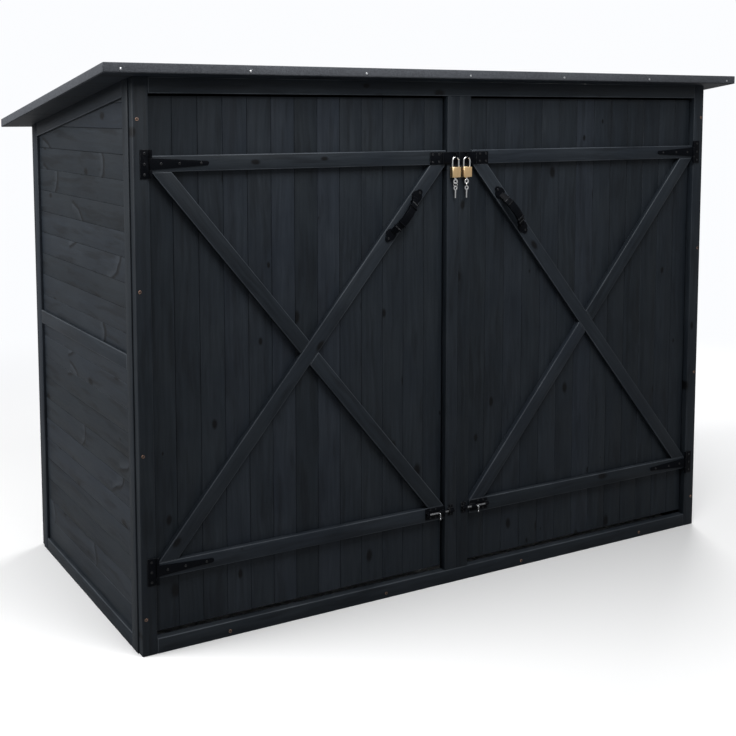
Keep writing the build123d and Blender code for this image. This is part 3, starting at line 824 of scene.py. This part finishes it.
# Painted highlight along the brass bodies' edges.
BRASS_EDGE_HIGHLIGHT = (0.98, 0.80, 0.50, 1)
NICKEL_DARK = (0.78, 0.78, 0.77, 1)
NICKEL_LIGHT = (0.95, 0.95, 0.94, 1)
LOCK_X = 0.020
LOCK_Y = FRONT_FACE - 0.010
LOCK_TOP = 1.267
LOCK_BASE = 1.236
LOCK_ARRIS = 0.0006
WIRE_SIDES = 14
BEND_STEPS = 10
SHACKLE_WIRE = 0.0024
SHACKLE_HALF = 0.011
SHACKLE_SUNK = 0.003
CROWN_HEIGHT = 1.2952
STAPLE_WIRE = 0.002
STAPLE_LOW = 1.2905
STAPLE_HIGH = 1.305
STAPLE_OUT = 0.016
STAPLE_BEND = 0.005
KEY_EDGE = 0.0003
KEY_CREASE = 50
SHORTEST_CUT_KEY = 0.03
BLADE_HALF = 0.00225
FIRST_BIT = 0.0022
BIT_PITCH = 0.0034
BIT_DEPTHS = (0.0010, 0.0016, 0.0007, 0.0013)
PLUG_RADIUS = 0.0052
PLUG_DEPTH = 0.0008
PLUG_SUNK = 0.0002


def round_wire(start, way, radius, moves):
    """Drawn wire from a start point: straight runs by length, and bends about a centre."""
    clear_selection()
    turn = Vector(way).to_track_quat("Z", "Y").to_euler()
    bpy.ops.mesh.primitive_circle_add(
        vertices=WIRE_SIDES, radius=radius, fill_type="NGON", location=start, rotation=turn
    )
    obj = bpy.context.object
    bpy.ops.object.transform_apply(location=True, rotation=True, scale=True)
    bpy.ops.object.mode_set(mode="EDIT")
    bpy.ops.mesh.select_mode(type="FACE")
    bpy.ops.mesh.select_all(action="SELECT")
    for move in moves:
        if len(move) == 1:
            bpy.ops.mesh.extrude_region_move(TRANSFORM_OT_translate={"value": move[0]})
        else:
            centre, axis, angle = move
            bpy.ops.mesh.spin(steps=BEND_STEPS, angle=math.radians(angle), center=centre, axis=axis)
    bpy.ops.mesh.select_all(action="SELECT")
    bpy.ops.mesh.remove_doubles(threshold=1e-6)
    bpy.ops.mesh.normals_make_consistent(inside=False)
    bpy.ops.object.mode_set(mode="OBJECT")
    return obj


def shackle(x):
    """A U of wire that stands in its lock body, with its crown through the staple."""
    bend_height = CROWN_HEIGHT - SHACKLE_HALF
    foot = LOCK_TOP - SHACKLE_SUNK
    rise = bend_height - foot
    moves = [((0, 0, rise),), ((x, LOCK_Y, bend_height), (0, 1, 0), -180), ((0, 0, -rise),)]
    return round_wire((x - SHACKLE_HALF, LOCK_Y, foot), (0, 0, 1), SHACKLE_WIRE, moves)


def staple(x):
    """A squared loop of wire that stands out of the stile through the hasp's slot."""
    reach = STAPLE_OUT - STAPLE_BEND
    bend_y = FRONT_FACE - reach
    moves = [
        ((0, -reach, 0),),
        ((x, bend_y, STAPLE_LOW + STAPLE_BEND), (1, 0, 0), 90),
        ((0, 0, STAPLE_HIGH - STAPLE_LOW - 2 * STAPLE_BEND),),
        ((x, bend_y, STAPLE_HIGH - STAPLE_BEND), (1, 0, 0), 90),
        ((0, reach, 0),),
    ]
    return round_wire((x, FRONT_FACE, STAPLE_LOW), (0, -1, 0), STAPLE_WIRE, moves)


def cut_bits(key):
    """Notches filed into one edge of a hanging key's blade."""
    low, high = Vector(key.bound_box[0]), Vector(key.bound_box[6])
    if high.z - low.z < SHORTEST_CUT_KEY:
        return
    pick(key)
    edge_x = (low.x + high.x) / 2 + BLADE_HALF
    for number, depth in enumerate(BIT_DEPTHS):
        foot = low.z + FIRST_BIT + number * BIT_PITCH
        bpy.ops.object.mode_set(mode="EDIT")
        for height in (foot - BIT_PITCH * 0.4, foot, foot + BIT_PITCH * 0.4):
            bpy.ops.mesh.select_all(action="SELECT")
            bpy.ops.mesh.bisect(plane_co=(0, 0, height), plane_no=(0, 0, 1))
        bpy.ops.mesh.select_mode(type="VERT")
        bpy.ops.mesh.select_all(action="DESELECT")
        bpy.ops.object.mode_set(mode="OBJECT")
        for vertex in key.data.vertices:
            vertex.select = abs(vertex.co.z - foot) < 1e-5 and vertex.co.x > edge_x - 1e-4
        bpy.ops.object.mode_set(mode="EDIT")
        bpy.ops.transform.translate(value=(-depth, 0, 0))
        bpy.ops.object.mode_set(mode="OBJECT")


BRASS = metal_coat(
    "padlock_brass", BRASS_DARK, BRASS_LIGHT, 1.0, (0.34, 0.50), 900, BRASS_EDGE_HIGHLIGHT, (1, 1, 0.04)
)
NICKEL = metal_coat("nickel_plate", NICKEL_DARK, NICKEL_LIGHT, 1.0, (0.18, 0.34), 900, None, (1, 1, 0.06))
shackles, staples = [], []
for x in (-LOCK_X, LOCK_X):
    shackles.append(shackle(x))
    staples.append(staple(x))
finished(joined(shackles, "shackle_wires"), NICKEL, "plated_steel", "shed", "padlock_shackles")
finished(joined(staples, "staple_wires"), BLACK_COAT, "black_ironmongery", "shed", "hasp_staples")
metal_piece("padlock_bodies", "shed", BRASS, "lock_brass", LOCK_ARRIS)
metal_piece("padlock_keys", "shed", NICKEL, "plated_steel", KEY_EDGE, KEY_CREASE, cut_bits)

plug = turned_disc(20, PLUG_RADIUS, PLUG_DEPTH, -PLUG_SUNK)
stepped_in(0.0006, 0.0003)
bpy.ops.mesh.inset(thickness=0.0018)
bpy.ops.transform.resize(value=(0.4, 1.2, 1))
bpy.ops.mesh.extrude_region_move(TRANSFORM_OT_translate={"value": (0, 0, -0.0006)})
bpy.ops.object.mode_set(mode="OBJECT")
plugs = [moved(plug, (x, LOCK_Y, LOCK_BASE), -Z_WAY) for x in (-LOCK_X, LOCK_X)]
bpy.data.objects.remove(plug)
finished(joined(plugs, "lock_plugs"), BRASS, "lock_brass", "shed")

# Timber screws: yellow passivated heads sunk into the posts and the bottom rails, which
# hold the front and back panels to the sides.
PASSIVATED_DARK = (0.020, 0.016, 0.014, 1)
PASSIVATED_LIGHT = (0.13, 0.085, 0.065, 1)
PASSIVATED_RIM = (0.58, 0.35, 0.25, 1)
BACK_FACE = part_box("back_stiles")[1].y
POST_SCREWS_X = (-0.989, 0.989)
POST_SCREWS_Z = (0.100, 0.539, 0.969, 1.409)
BACK_SCREWS_BELOW = 1.38
RAIL_SCREWS_X = (-0.75, -0.25, 0.25, 0.75)
RAIL_SCREWS_Z = 0.015
PASSIVATED = metal_coat(
    "screw_plate", PASSIVATED_DARK, PASSIVATED_LIGHT, 0.5, (0.38, 0.55), 28, PASSIVATED_RIM
)
back_heights = [z for z in POST_SCREWS_Z if z < BACK_SCREWS_BELOW]
timber_screw = cross_head(0.0044, 0.0010)
for name, y, way, heights in (
    ("front_timber_screws", FRONT_FACE, -Y_WAY, POST_SCREWS_Z),
    ("back_timber_screws", BACK_FACE, Y_WAY, back_heights),
):
    places = [(x, y, z) for x in POST_SCREWS_X for z in heights]
    places += [(x, y, RAIL_SCREWS_Z) for x in RAIL_SCREWS_X]
    screws(name, "shed", PASSIVATED, "plated_steel", timber_screw, places, way)
bpy.data.objects.remove(timber_screw)
